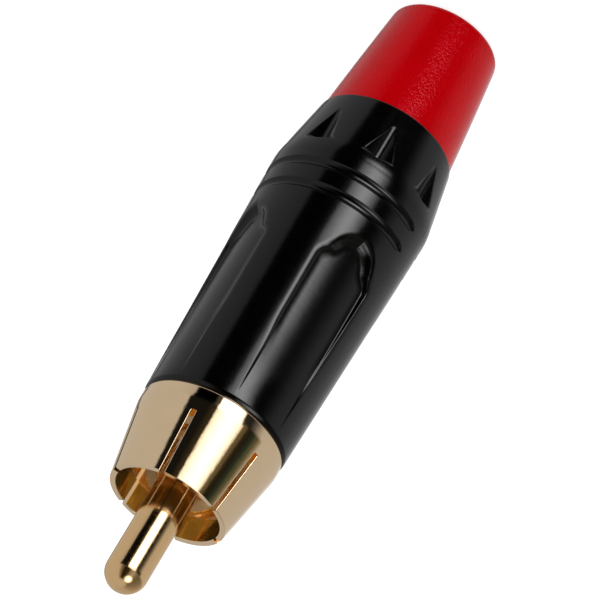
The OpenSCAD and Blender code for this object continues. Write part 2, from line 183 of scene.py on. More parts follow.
def turned(name, rows, columns, cut=None, thread=None, closed=True):
    """Revolves rows about Z. Each cut takes its columns away over its own heights, and the thread
    moves the points of the upright sides that it runs on."""
    if cut:
        rows = split(rows, [cut.start, cut.end, *(cut.start + h for h in LIP_RUN_IN)], closed)
        if cut.flare:
            rows = split(rows, [cut.mouth - cut.flare * k for k in FLARE_SPLITS], closed)
    if thread:
        steps = int(round((thread.end - thread.start) / thread.pitch * THREAD_STEPS))
        rows = split(rows, thread_heights(thread, steps), closed)
    r, z, nr, nz = np.array(rows).T
    count = len(rows)
    if cut:
        az, opens, tilts = cut_columns(r, z, columns, cut)
    else:
        az = np.tile(np.arange(columns) * TAU / columns, (count, 1))
        opens, tilts = [-1] * columns, np.zeros(columns)
    n_cols = az.shape[1]
    rr, zz, nrr, nzz = (np.repeat(values[:, None], n_cols, 1) for values in (r, z, nr, nz))
    naa = np.zeros_like(rr)
    if cut and cut.lip:
        # Lips only on the outside of the cuts, where the outline faces outwards
        amount = np.clip(nr, 0, 1) * np.clip((z - cut.start) / LIP_RUN_IN[1], 0, 1)
        amount = (amount * (z <= cut.end))[:, None]
        rr = rr - amount * cut.lip / math.sin(LIP_TILTS[0]) * (1 - np.cos(tilts))
        naa = amount * np.sin(tilts)
        nrr, nzz = nrr * np.sqrt(1 - naa ** 2), nzz * np.sqrt(1 - naa ** 2)
    if thread:
        on = (np.abs(nr) > UPRIGHT) & (z > thread.start - TINY) & (z < thread.end + TINY)
        on &= (nr > 0) if thread.depth > 0 else (nr < 0)
        along, around = slopes(thread_depth, zz, az, thread)
        rr[on] -= thread_depth(zz, az, thread)[on]
        sign = np.sign(nrr)
        nzz[on] = (along * sign)[on]
        naa[on] = (around / np.maximum(rr, TINY) * sign)[on]
        size = np.sqrt(nrr ** 2 + nzz ** 2 + naa ** 2)
        nrr, nzz, naa = nrr / size, nzz / size, naa / size
    ca, sa = np.cos(az), np.sin(az)
    pos = np.stack([rr * ca, rr * sa, zz], axis=2)
    nor = np.stack([nrr * ca - naa * sa, nrr * sa + naa * ca, nzz], axis=2)
    index = np.arange(count * n_cols).reshape(count, n_cols)
    index[r < TINY] = index[r < TINY][:, :1]
    faces, loops = [], []

    def add(ids, normals):
        faces.append([int(x) for x in ids])
        loops.extend(normals)

    for i in range(count if closed else count - 1):
        k = (i + 1) % count
        if r[i] < TINY and r[k] < TINY:
            continue
        is_open = cut and cut.start - TINY <= (z[i] + z[k]) / 2 <= cut.end + TINY
        for j in range(n_cols):
            if opens[j] >= 0 and is_open:
                continue
            m = (j + 1) % n_cols
            ids = [index[i, j], index[i, m], index[k, m], index[k, j]]
            normals = [nor[i, j], nor[i, m], nor[k, m], nor[k, j]]
            # A triangle on the axis
            if ids[0] == ids[1]:
                ids, normals = ids[1:], normals[1:]
            elif ids[2] == ids[3]:
                ids, normals = ids[:3], normals[:3]
            add(ids, normals)
    if cut:
        cut_faces(add, pos, index, r, z, cut, opens, closed)
    return mesh_object(name, pos.reshape(-1, 3), faces, loops)


def cut_faces(add, pos, index, r, z, cut, opens, closed):
    """Adds the two sides and the end of each cut."""
    count, n_cols = index.shape
    inside = [i for i in range(count) if cut.start - TINY <= z[i] <= cut.end + TINY]
    # One run of rows, from where the outline enters the cut
    first = next(i for i in inside if (i - 1) % count not in inside or (not closed and i == 0))
    run = [(first + k) % count for k in range(len(inside))]
    begin, finish = run[0], run[-1]
    top = abs(z[begin] - cut.end) < TINY
    for k, a in enumerate(np.radians(cut.azimuths)):
        left, wide = opens.index(k), opens.count(k)
        for col, sign in ((left, 1), ((left + wide) % n_cols, -1)):
            if cut.width:
                want = np.array([-math.sin(a), math.cos(a), 0]) * sign
            else:
                want = np.array([math.cos(a), math.sin(a), 0])
            flat_face(add, pos, index, [(i, col) for i in run], want)
        across = [(left + q) % n_cols for q in range(wide + 1)]
        back = list(reversed(across)) if r[finish] > TINY else across[:1]
        ring = [(begin, c) for c in across] + [(finish, c) for c in back]
        flat_face(add, pos, index, ring, np.array([0, 0, -1.0 if top else 1.0]))


def flat_face(add, pos, index, ring, want):
    """Adds one flat face through the grid points in ring, turned to face want."""
    points = np.array([pos[i, j] for i, j in ring])
    normal = sum(np.cross(points[k - 1], points[k]) for k in range(len(points)))
    if normal @ want < 0:
        ring = ring[::-1]
    add([index[i, j] for i, j in ring], [want] * len(ring))


def mesh_object(name, points, faces, loop_normals):
    """An object with these points, in millimetres, and one normal for each face corner."""
    used = np.unique(np.concatenate([np.array(f) for f in faces]))
    new = np.full(len(points), -1)
    new[used] = np.arange(len(used))
    mesh = bpy.data.meshes.new(name)
    mesh.from_pydata((points[used] * MM).tolist(), [], [[int(new[i]) for i in f] for f in faces])
    mesh.polygons.foreach_set("use_smooth", [True] * len(mesh.polygons))
    mesh.normals_split_custom_set([tuple(n) for n in loop_normals])
    obj = bpy.data.objects.new(name, mesh)
    bpy.context.scene.collection.objects.link(obj)
    return obj


# Shell: one grid round the axis, with the radius worked out at each point. Heights are along the
# axis, and distances across are arcs at the radius that is named with them.

REAR_Z, BEND_Z, FRONT_Z = 10.8, 16.5, 38.75
REAR_R, BEND_R, FRONT_R = 5.57, 6.51, 5.71
BEND_ROUND = 0.12
# The rear edge is rounded, and the cone widens a little over it
EDGE, EDGE_STEPS, EDGE_WIDENS = 0.14, 5, 0.02
# Both bores start with a slanting edge, and each has a nut's thread
REAR_BORE_R, FRONT_BORE_R = 5.15, 5.25
SLANT = math.sqrt(0.5)
NUTS, NUT_STEPS = (Thread(33.75, 38.35, -0.36), Thread(11.1, 16.4, -0.36)), 32

# Arched recesses: the floor, which rises a little towards the front and the sides, its outline, and
# the walls' slopes, whose second number is what the sides have more than the crown
ARC_R = 6.15
FLOOR_R, FLOOR_RISE, FLOOR_HOLLOW = 5.62, 0.06, 0.011
FLOOR_RISE_Z = (31.0, 36.0)
CROWN_Z, CROWN_R = 24.30, 1.50
SHOULDER_S, SHOULDER_Z, SHOULDER_ALONG, SHOULDER_UP = 1.45, 24.10, 0.62, 0.785
HALF_WIDTH, NARROWING, NARROWING_Z = 2.52, 0.12, (30.5, 34.5)
SHOULDER_ROUND, NECK_ROUND = 0.35, 0.40
WALL_SLOPE, WALL_SLOPE_Z = (1.15, 1.65), (23.9, 25.1)
FLATTER, FLATTER_Z = 0.45, (30.5, 36.0)
# The floor rises gently to the wall, and the rim falls off gently to it, less where it is shallow
FULL_DEPTH = 0.28
FOOT_REACH, FOOT = 0.62, 0.30
RIM_REACH, RIM, RIM_BELOW = 0.36, 0.5, 0.1
WALL_ROUND, LIP_ROUND = 0.22, 0.10

# Triangular notches: a flat floor that leans outwards, and a square end that bulges forwards
NOTCH_ARC_R = 6.2
NOTCH_R, NOTCH_Z, NOTCH_LEAN = 5.858, 12.5, 0.0275
NOTCH_FLAT, NOTCH_SLOPE, NOTCH_ROUND = 0.14, 0.577, 0.11
NOTCH_END_Z, NOTCH_BULGE, NOTCH_HALF_WIDTH = 15.80, 0.03, 1.45
NOTCH_END_SLOPE, NOTCH_END_ROUND = 5.0, 0.12
NOTCH_LIP, NOTCH_END_LIP, NOTCH_END_LIP_Z = 0.018, 0.32, (15.6, 15.85)

# Ring grooves with a hollow-round profile, in two arcs
GROOVES_Z = (18.25, 20.29)
GROOVE_R, GROOVE_ABOVE, GROOVE_LIP = 0.445, 0.195, 0.05
GROOVE_HALF_ARC = math.radians(66.5)
GROOVE_ARC_R, GROOVE_RUN_OUT = 6.4, 0.42

# Parting line of the casting, which stands only where nothing is cut away
LINE_ARC_R, LINE_HEIGHT, LINE_WIDTH, LINE_FADE = 6.2, 0.010, 0.07, 0.02


def smooth_max(a, b, k):
    """The greater of a and b, rounded where they are within k of each other."""
    h = np.clip(0.5 + 0.5 * (a - b) / k, 0, 1)
    return b + (a - b) * h + k * h * (1 - h)


def smooth_min(a, b, k):
    return -smooth_max(-a, -b, k)


def smooth_step(x, a, b):
    t = np.clip((x - a) / (b - a), 0, 1)
    return t * t * (3 - 2 * t)


def off_centre(azimuth, first, pitch):
    """Azimuth from the nearest of the evenly spaced centres. The first one and their pitch are in
    degrees."""
    first, pitch = math.radians(first), math.radians(pitch)
    return (azimuth - first + pitch / 2) % pitch - pitch / 2


def rear_cone(z):
    return REAR_R + (BEND_R - REAR_R) * (z - REAR_Z) / (BEND_Z - REAR_Z)


def front_cone(z):
    return BEND_R + (FRONT_R - BEND_R) * (z - BEND_Z) / (FRONT_Z - BEND_Z)


def recess_floor_distance(s, z):
    """Distance outside the outline of an arched recess's floor."""
    neck = np.where(z < CROWN_Z, np.hypot(s, z - CROWN_Z), np.abs(s)) - CROWN_R
    side = np.abs(s) - HALF_WIDTH + NARROWING * smooth_step(z, *NARROWING_Z)
    shoulder = (np.abs(s) - SHOULDER_S) * SHOULDER_ALONG + (SHOULDER_Z - z) * SHOULDER_UP
    return smooth_min(neck, smooth_max(side, shoulder, SHOULDER_ROUND), NECK_ROUND)


def with_recesses(z, azimuth, base):
    """The radius with its recesses, whose floors are nearly a cylinder, so that they run out where
    the cone has narrowed to them."""
    s = off_centre(azimuth, 45, 90) * ARC_R
    slope = ((WALL_SLOPE[0] + WALL_SLOPE[1] * smooth_step(z, *WALL_SLOPE_Z))
             * (1 - FLATTER * smooth_step(z, *FLATTER_Z)))
    d = recess_floor_distance(s, z)
    floor = FLOOR_R + FLOOR_RISE * smooth_step(z, *FLOOR_RISE_Z) + FLOOR_HOLLOW * s ** 2
    depth = np.maximum(base - floor, 0)
    full = np.minimum(1, depth / FULL_DEPTH) ** 2
    foot = FOOT * full * np.clip(d + FOOT_REACH, 0, FOOT_REACH) ** 2
    recess = floor + foot + smooth_max(0.0, d * slope, WALL_ROUND)
    past = RIM_REACH - (d - (depth - RIM_BELOW) / slope)
    rim = RIM * full * np.clip(past, 0, RIM_REACH) ** 2
    return smooth_min(base - rim, recess, LIP_ROUND)


def with_notches(z, azimuth, radius):
    t = np.abs(off_centre(azimuth, 22.5, 45)) * NOTCH_ARC_R
    end_z = NOTCH_END_Z + NOTCH_BULGE * (1 - (t / NOTCH_HALF_WIDTH) ** 2)
    wall = NOTCH_SLOPE * smooth_max(0.0, t - NOTCH_FLAT, NOTCH_ROUND)
    notch = NOTCH_R - NOTCH_LEAN * (z - NOTCH_Z) + wall
    notch = notch + NOTCH_END_SLOPE * smooth_max(0.0, z - end_z, NOTCH_END_ROUND)
    lip = NOTCH_LIP + NOTCH_END_LIP * smooth_step(z, *NOTCH_END_LIP_Z)
    return smooth_min(radius, notch, lip)


def with_grooves(z, azimuth, radius):
    arc = off_centre(azimuth, 90, 180)
    past = np.maximum(np.abs(arc) - GROOVE_HALF_ARC, 0) * GROOVE_ARC_R * GROOVE_RUN_OUT
    grooves = np.full_like(z, np.inf)
    for centre in GROOVES_Z:
        inside = np.maximum(GROOVE_R ** 2 - past ** 2 - (z - centre) ** 2, 0)
        grooves = np.minimum(grooves, front_cone(centre) + GROOVE_ABOVE - np.sqrt(inside))
    return smooth_min(radius, grooves, GROOVE_LIP)


def shell_radius(z, azimuth):
    """Outer radius of the shell."""
    base = smooth_min(rear_cone(z), front_cone(z), BEND_ROUND)
    radius = with_recesses(z, azimuth, base)
    radius = with_notches(z, azimuth, radius)
    radius = with_grooves(z, azimuth, radius)
    line = off_centre(azimuth, 0, 180) * LINE_ARC_R
    height = LINE_HEIGHT * np.exp(-(line / LINE_WIDTH) ** 2)
    return radius + height * smooth_step(radius - base, -LINE_FADE, 0.0)


def spans(*pieces):
    """Values from (start, end, step) pieces, each without its end."""
    values = []
    for start, end, step in pieces:
        count = int(round((end - start) / step))
        values.append(np.arange(count) * (end - start) / count + start)
    return np.concatenate(values)


def shell_outside(azimuths):
    """Rings of points and of normals: rear face and edge, outer surface, front edge and face."""
    ca, sa, ones = np.cos(azimuths), np.sin(azimuths), np.ones(len(azimuths))
    rings = []

    def ring(r, height, normal_r, normal_z):
        rings.append((np.stack([r * ca, r * sa, height * ones], 1),
                      np.stack([normal_r * ca, normal_r * sa, normal_z * ones], 1)))

    ring(REAR_BORE_R, REAR_Z, 0, -1)
    for k in range(EDGE_STEPS):
        t = TAU / 4 * (k / EDGE_STEPS - 1)
        ring(REAR_R + EDGE_WIDENS + EDGE * (math.cos(t) - 1), REAR_Z + EDGE * (1 + math.sin(t)),
             math.cos(t), math.sin(t))
    # Finer where the notches end, in the grooves and at the recesses' crowns
    heights = spans(
        (REAR_Z + EDGE, 12.0, 0.35), (12.0, 15.84, 0.24), (15.84, 16.24, 0.04),
        (16.24, 17.76, 0.14), (17.76, 18.74, 0.049), (18.74, 19.80, 0.26), (19.80, 20.78, 0.049),
        (20.78, 22.14, 0.26), (22.14, 23.3, 0.068), (23.3, 25.6, 0.10), (25.6, 38.2, 0.6))
    az, z = np.meshgrid(azimuths, heights)
    radius = shell_radius(z, az)
    along, around = slopes(shell_radius, z, az)
    around = around / radius
    for r, height, dz, da in zip(radius, heights, along, around):
        size = np.sqrt(1 + dz ** 2 + da ** 2)
        rings.append((np.stack([r * ca, r * sa, height * ones], 1),
                      np.stack([(ca + da * sa) / size, (sa - da * ca) / size, -dz / size], 1)))
    # The front edge is bevelled and rounded
    bevel = [(5.730, 38.2), (5.718, 38.52), (5.55, FRONT_Z), (FRONT_BORE_R, FRONT_Z)]
    for row in corner(*bevel[:3], 0.30, 4) + corner(*bevel[1:], 0.16, 4):
        ring(*row)
    ring(FRONT_BORE_R, FRONT_Z, 0, 1)
    return rings


def shell_bore(azimuths):
    """Rings of points and of normals down the bores, from the front face to the rear one."""
    rows = outline([
        (FRONT_BORE_R, FRONT_Z, -SLANT, SLANT), (5.0, 38.5), (5.0, 33.5), (4.85, 33.5),
        (4.85, 22.0), (3.7, 22.0), (3.7, 21.0), (4.9, 21.0), (4.9, 11.05),
        (REAR_BORE_R, REAR_Z, -SLANT, -SLANT)], 0.06, 2, closed=False)
    turns = [h for thread in NUTS for h in thread_heights(thread, NUT_STEPS)]
    ca, sa, ones = np.cos(azimuths), np.sin(azimuths), np.ones(len(azimuths))
    rings = []
    for r, height, nr, nz in split(rows, turns, closed=False):
        deep, along, around = 0 * ones, 0 * ones, 0 * ones
        for thread in NUTS:
            if thread.start - TINY <= height <= thread.end + TINY and abs(nr) > UPRIGHT:
                deep = thread_depth(height * ones, azimuths, thread)
                along, around = slopes(thread_depth, height * ones, azimuths, thread)
                around = around / r
        local = np.stack([nr * ones, -around, nz - along], 1)
        local /= np.linalg.norm(local, axis=1)[:, None]
        rings.append((np.stack([(r - deep) * ca, (r - deep) * sa, height * ones], 1),
                      np.stack([local[:, 0] * ca - local[:, 1] * sa,
                                local[:, 0] * sa + local[:, 1] * ca, local[:, 2]], 1)))
    return rings


def build_shell():
    # Finer where the recesses' walls stand
    quarter = spans((0, 18.3, 0.84), (18.3, 25.1, 0.4), (25.1, 64.9, 0.83), (64.9, 71.7, 0.4),
                    (71.7, 90, 0.84))
    azimuths = np.radians(np.concatenate([quarter + 90 * k for k in range(4)]))
    outside, inside = shell_outside(azimuths), shell_bore(azimuths[::4])
    points = np.concatenate([p for p, _ in outside + inside])
    normals = np.concatenate([m for _, m in outside])
    n, last = len(azimuths), (len(outside) - 1) * len(azimuths)
    faces, loops = [], []
    j = np.arange(n)
    for first in range(0, last, n):
        after = (j + 1) % n
        quad = np.stack([first + j, first + after, first + n + after, first + n + j], 1)
        faces.extend(quad.tolist())
        loops.append(normals[quad.ravel()])
    # The bores have a quarter of the columns. Their end rings are points of the two faces.
    m = n // 4
    ids = [len(normals) + k * m + np.arange(m) for k in range(len(inside))]
    ids[0], ids[-1] = last + j[::4], j[::4]
    for k in range(len(inside) - 1):
        upper, lower = inside[k][1], inside[k + 1][1]
        for c in range(m):
            e = (c + 1) % m
            high, low = [ids[k][c]], [ids[k + 1][c]]
            between = [(4 * c + q) % n for q in (1, 2, 3)]
            if k == 0:
                high += [last + q for q in between]
            if k == len(inside) - 2:
                low += between
            high.append(ids[k][e])
            low.append(ids[k + 1][e])
            faces.append([int(i) for i in high + low[::-1]])
            there = [upper[c]] * (len(high) - 1) + [upper[e]]
            back = [lower[c]] * (len(low) - 1) + [lower[e]]
            loops.append(np.array(there + back[::-1]))
    return mesh_object("shell_casting", points, faces, np.concatenate(loops))


# Materials. Noises are scaled per millimetre, and bumps are in micrometres.

MICRON = 1e-6
NOISE_LOW, NOISE_HIGH = 0.3, 0.7  # Where nearly all values of a noise lie
MOUTH_Z = 45.8  # The open end of the contact


def is_socket(value):
    return isinstance(value, bpy.types.NodeSocket)


def rgba(value):
    """A colour or a grey value, with its alpha."""
    return (*value, 1) if isinstance(value, tuple) else (value, value, value, 1)


def put(tree, made, inputs):
    """Links each of these inputs of a node to its socket, or sets it to its value."""
    for key, value in inputs.items():
        if is_socket(value):
            tree.links.new(value, made.inputs[key])
        else:
            made.inputs[key].default_value = value
    return made


def node(tree, kind, inputs=None, **settings):
    """A new node with its settings and its inputs."""
    made = tree.nodes.new(kind)
    for key, value in settings.items():
        setattr(made, key, value)
    return put(tree, made, inputs or {})


def shader(name):
    """A new material, its tree and its Principled BSDF."""
    mat = bpy.data.materials.new(name)
    mat.use_nodes = True
    return mat, mat.node_tree, mat.node_tree.nodes["Principled BSDF"]


def in_mm(tree, scale=(1, 1, 1)):
    """Object coordinates in millimetres, stretched by scale."""
    coord = node(tree, "ShaderNodeTexCoord").outputs["Object"]
    stretch = [s / MM for s in scale]
    return node(tree, "ShaderNodeMapping", {"Vector": coord, "Scale": stretch}).outputs["Vector"]


def noise(tree, vector, scale, detail=2.0, rough=0.5):
    made = node(tree, "ShaderNodeTexNoise",
                {"Vector": vector, "Scale": scale, "Detail": detail, "Roughness": rough})
    return made.outputs["Fac"]


def bump(tree, height, depth, before=None):
    """A bump on top of the one before, if there is one."""
    inputs = {"Height": height, "Distance": depth * MICRON}
    if before:
        inputs["Normal"] = before
    return node(tree, "ShaderNodeBump", inputs).outputs["Normal"]


def to_range(tree, value, low, high, from_low=NOISE_LOW, from_high=NOISE_HIGH):
    made = node(tree, "ShaderNodeMapRange",
                {"Value": value, "From Min": from_low, "From Max": from_high,
                 "To Min": low, "To Max": high})
    return made.outputs["Result"]


def rise(tree, value, start, end):
    """0 up to the start and 1 from the end."""
    return to_range(tree, value, 0, 1, start, end)


def fall(tree, value, start, end):
    """1 up to the start and 0 from the end."""
    return to_range(tree, value, 1, 0, start, end)


def math_node(tree, operation, *values):
    return node(tree, "ShaderNodeMath", dict(enumerate(values)), operation=operation).outputs[0]


def product(tree, value, *others):
    for other in others:
        value = math_node(tree, "MULTIPLY", value, other)
    return value


def mixed(tree, factor, a, b):
    """A mix of two colours or grey values, each of them fixed or a socket."""
    a, b = (value if is_socket(value) else rgba(value) for value in (a, b))
    return node(tree, "ShaderNodeMix", {0: factor, 6: a, 7: b}, data_type="RGBA").outputs[2]


def clouded(tree, cloud, dark, light):
    """A colour between dark and light, as the noise goes."""
    return mixed(tree, to_range(tree, cloud, 0, 1), dark, light)


def polar_coords(tree):
    """Object coordinates in millimetres as radius and height."""
    parts = node(tree, "ShaderNodeSeparateXYZ", {"Vector": in_mm(tree)})
    x, y, z = (parts.outputs[k] for k in "XYZ")
    square = math_node(tree, "ADD", product(tree, x, x), product(tree, y, y))
    return math_node(tree, "SQRT", square), z


def gold_material(name, inner, outer, edge, low, high):
    """Plate with a roughness from low to high. Inside the radius of the edge, but for the mouth's
    rim, it takes the inner colour, which is painted shade and interreflection of the hollow."""
    mat, tree, bsdf = shader(name)
    vector = in_mm(tree)
    radius, z = polar_coords(tree)
    outside = rise(tree, radius, edge - 0.05, edge + 0.05)
    at_mouth = rise(tree, z, MOUTH_Z - 0.14, MOUTH_Z - 0.06)
    cloud = noise(tree, vector, 0.7, 3)
    # Inside the edge's radius the colour is darker and more amber, as painted shade of the hollow
    deep, plain = (clouded(tree, cloud, c, tuple(1.03 * x for x in c)) for c in (inner, outer))
    # The cutter's marks run round the axis. Inside they are coarser, and the plate is duller.
    rings = node(tree, "ShaderNodeCombineXYZ", {"X": radius, "Z": z}).outputs[0]
    marks = noise(tree, rings, 9.0, 3)
    coarse = to_range(tree, marks, low + 0.04, high + 0.10)
    scratched = product(tree, marks, to_range(tree, outside, 4.0, 1.0, 0, 1))
    normal = bump(tree, noise(tree, vector, 1.1), 5.0)
    normal = bump(tree, noise(tree, vector, 4.0), 1.8, normal)
    put(tree, bsdf, {
        "Base Color": mixed(tree, math_node(tree, "MAXIMUM", outside, at_mouth), deep, plain),
        "Metallic": to_range(tree, outside, 0.94, 1.0, 0, 1),
        "Roughness": mixed(tree, outside, coarse, to_range(tree, marks, low, high)),
        "Normal": bump(tree, scratched, 0.6, normal)})
    return mat


def paint_material():
    mat, tree, bsdf = shader("shell_paint")
    vector = in_mm(tree)
    radius, z = polar_coords(tree)
    # The floors of the recesses show the tool's fine marks across them through the paint
    on_floor = product(tree, fall(tree, radius, 5.77, 5.83), rise(tree, z, 21.0, 22.0),
                       fall(tree, z, 35.0, 36.5))
    tool = noise(tree, in_mm(tree, (0.5, 0.5, 3.2)), 2.2, 3)
    # The paint lies thicker and duller in the notches
    in_notch = product(tree, rise(tree, z, 12.4, 13.0), fall(tree, z, 15.9, 16.1),
                       to_range(tree, radius, 0.07, 0.0, 5.86, 5.90))
    dull = math_node(tree, "ADD", product(tree, on_floor, 0.07), in_notch)
    fine = noise(tree, vector, 7.0, 3, 0.6)
    peel = bump(tree, noise(tree, vector, 0.9), 6.0)
    grain = bump(tree, fine, 1.2, peel)
    dark, light = (0.0002, 0.0002, 0.0003), (0.0006, 0.0006, 0.0007)
    put(tree, bsdf, {
        "Base Color": clouded(tree, noise(tree, vector, 1.1, 4), dark, light),
        "IOR": 1.42,
        "Roughness": math_node(tree, "ADD", to_range(tree, fine, 0.12, 0.18), dull),
        "Normal": bump(tree, product(tree, tool, on_floor), 8.0, grain)})
    return mat


def boot_material():
    mat, tree, bsdf = shader("boot_plastic")
    vector = in_mm(tree)
    grain = noise(tree, vector, 5.2, 1.5)
    dark, light = (0.585, 0.0001, 0.0025), (0.635, 0.0002, 0.004)
    put(tree, bsdf, {
        "Base Color": clouded(tree, noise(tree, vector, 0.6, 3), dark, light),
        "IOR": 1.4,
        "Specular Tint": (0.8, 0.10, 0.16, 1),
        "Roughness": to_range(tree, grain, 0.09, 0.13),
        "Normal": bump(tree, grain, 30.0)})
    return mat


def plastic_material(name, dark, light, low, high, scale=3.0):
    """Moulded plastic with a little cloud in its colour and a fine grain."""
    mat, tree, bsdf = shader(name)
    vector = in_mm(tree)
    grain = noise(tree, vector, scale, 3)
    put(tree, bsdf, {
        "Base Color": clouded(tree, noise(tree, vector, scale / 4, 3), dark, light),
        "Roughness": to_range(tree, grain, low, high),
        "Normal": bump(tree, grain, 4.0)})
    return mat


def tin_material():
    mat, tree, bsdf = shader("tinned_metal")
    rolled = noise(tree, in_mm(tree, (1, 1, 6)), 4.0, 3)
    put(tree, bsdf, {
        "Base Color": clouded(tree, rolled, (0.60, 0.58, 0.53), (0.74, 0.73, 0.69)),
        "Metallic": 1.0,
        "Roughness": to_range(tree, rolled, 0.24, 0.42),
        "Normal": bump(tree, rolled, 2.0)})
    return mat


# Pieces

def arc(r0, z0, radius, start, end, steps):
    """Points of a smooth curve of the outline, in degrees from the radial direction."""
    angles = [math.radians(t) for t in np.linspace(start, end, steps)]
    return [(r0 + radius * math.cos(t), z0 + radius * math.sin(t), 0) for t in angles]


def place(obj, body, mat, replaced):
    obj.data.materials.append(mat)
    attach(obj, body)
    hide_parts(replaced)


# The skirt's inner colour is darker and more amber than its outer one, as painted shade and
# interreflection of the hollow
SKIRT_GOLD, HOLLOW_SHADE_GOLD, PIN_GOLD = (0.96, 0.72, 0.46), (0.82, 0.54, 0.11), (0.94, 0.63, 0.32)
gold = gold_material("gold_skirt", HOLLOW_SHADE_GOLD, SKIRT_GOLD, 4.22, 0.04, 0.08)
# All of the pin has the outer finish
gold_pin = gold_material("gold_pin", PIN_GOLD, PIN_GOLD, -1.0, 0.11, 0.16)
paint = paint_material()
red = boot_material()
nylon = plastic_material("chuck_plastic", (0.60, 0.575, 0.51), (0.70, 0.68, 0.62), 0.38, 0.52)
milky = plastic_material("sleeve_plastic", (0.74, 0.73, 0.67), (0.82, 0.81, 0.77), 0.30, 0.42)
ivory = plastic_material("insulator_plastic", (0.70, 0.67, 0.58), (0.79, 0.77, 0.69), 0.34, 0.48)
laminate = plastic_material("washer_laminate", (0.36, 0.22, 0.10), (0.47, 0.31, 0.17), 0.5, 0.7,
                            scale=6.0)
tin = tin_material()

place(build_shell(), "shell", paint, "shell")

# Stem with its thread, flange, skirt, gripping lip and the seat of the insulator
contact_rows = outline([
    (3.5, 33.5), (4.7, 33.5), (4.95, 33.75), (4.95, 38.25), (4.65, 38.25), (4.65, 38.75),
    (5.53, 38.75, 0.03), (5.65, 39.0, 0.08), (5.65, 39.8, 3.0), (4.61, MOUTH_Z, 0.06),
    (4.15, MOUTH_Z, 0.1), (4.15, 43.8), (4.3, 43.65), (4.3, 40.0), (3.6, 40.0), (3.6, 39.5),
    (4.0, 39.5), (4.0, 33.9), (3.5, 33.9)])
# The slots end past the mouth, so that they are open there
slots = Cut([28 + 60 * k for k in range(6)], 0.35, 40.75, 50.0, 0.08, 0.08, MOUTH_Z)
place(turned("contact_skirt", contact_rows, 192, slots, Thread(33.95, 38.15, 0.38)),
      "insert", gold, "ground_contact")

# Solder cup, stem, collar, seat and the shaft with its round nose
PIN_R, TIP_Z = 1.6, 53.4
pin_rows = outline([
    (0, 31.2, 0.0, -1.0), (0.85, 31.2, 0.05), (0.85, 26.7), (1.3, 26.7), (1.3, 35.1), (2.4, 35.1),
    (2.4, 37.1), (1.9, 37.1), (1.9, 40.0), (PIN_R, 40.0), *arc(0, TIP_Z - PIN_R, PIN_R, 0, 86, 24),
    (0, TIP_Z, 0.0, 1.0)], closed=False)
place(turned("contact_pin", pin_rows, 128, Cut([0], None, 20.0, 29.5), closed=False),
      "insert", gold_pin, "centre_pin")

# The boot's flank is slightly full
flank = [(4.44 + 0.0917 * z + 0.0011 * z * (REAR_Z - z), z, 0) for z in (2.0, 4.0, 6.0, 8.0, 9.6)]
boot_rows = outline([
    (3.3, 0), (4.44, 0, 0.5), *flank, (5.43, REAR_Z, 0.10), (4.55, REAR_Z), (4.55, 11.3),
    (4.85, 11.3), (4.85, 15.8), (4.6, 16.05), (4.05, 16.05), (4.05, 9.5), (3.1, 5.5), (3.1, 0.2)],
    0.06, 4)
place(turned("boot_moulding", boot_rows, 192, thread=Thread(11.35, 15.75, 0.38)),
      "boot", red, "boot")

insulator_rows = outline([
    (2.42, 35.1), (3.98, 35.1), (3.98, 39.5), (3.58, 39.5), (3.58, 40.0), (1.92, 40.0),
    (1.92, 37.1), (2.42, 37.1)])
place(turned("insulator_bush", insulator_rows, 128),
      "insert", ivory, "insulator")

for name, mat in (("chuck", nylon), ("insulating_sleeve", milky), ("insulating_washer", laminate),
                  ("ground_lug", tin)):
    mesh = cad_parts[name].data
    mesh.materials.clear()
    mesh.materials.append(mat)


# Studio: floor, lamps, world and camera

GROUND_HALF = 3.0  # In metres
GROUND_GREY, GROUND_GLOW = 0.3, 0.85
CENTRE = Vector((0, 0, 27)) * MM


def build_floor():
    """A matt floor without shadows, which glows for the camera only."""
    h = GROUND_HALF
    mesh = bpy.data.meshes.new("floor")
    mesh.from_pydata([(-h, -h, 0), (h, -h, 0), (h, h, 0), (-h, h, 0)], [], [(0, 1, 2, 3)])
    obj = bpy.data.objects.new("floor", mesh)
    bpy.context.scene.collection.objects.link(obj)
    mat, tree, bsdf = shader("floor")
    tree.nodes.remove(bsdf)
    matt = node(tree, "ShaderNodeBsdfDiffuse", {"Color": rgba(GROUND_GREY)}).outputs[0]
    glow = node(tree, "ShaderNodeEmission", {"Color": rgba(1.0), "Strength": GROUND_GLOW})
    both = node(tree, "ShaderNodeAddShader", {0: matt, 1: glow.outputs[0]}).outputs[0]
    for_camera = node(tree, "ShaderNodeLightPath").outputs["Is Camera Ray"]
    seen = node(tree, "ShaderNodeMixShader", {0: for_camera, 1: matt, 2: both}).outputs[0]
    put(tree, tree.nodes["Material Output"], {"Surface": seen})
    mesh.materials.append(mat)
    obj.visible_glossy = False
    obj.visible_shadow = False
    obj.visible_transmission = False


def direction(azimuth, elevation):
    a, e = math.radians(azimuth), math.radians(elevation)
    return Vector((math.cos(e) * math.cos(a), math.cos(e) * math.sin(a), math.sin(e)))


def panel(name, azimuth, elevation, distance, width, height, radiance):
    """A soft panel lamp that faces the object and shows in no reflection. Its radiance doesn't
    depend on its size."""
    data = bpy.data.lights.new(name, "AREA")
    data.shape = "RECTANGLE"
    data.size, data.size_y = width * MM, height * MM
    data.energy = radiance * math.pi * data.size * data.size_y
    obj = bpy.data.objects.new(name, data)
    out = direction(azimuth, elevation)
    obj.location = CENTRE + out * distance * MM
    obj.rotation_mode = "QUATERNION"
    obj.rotation_quaternion = out.to_track_quat("Z", "Y")
    obj.visible_camera = False
    obj.visible_glossy = False
    bpy.context.scene.collection.objects.link(obj)


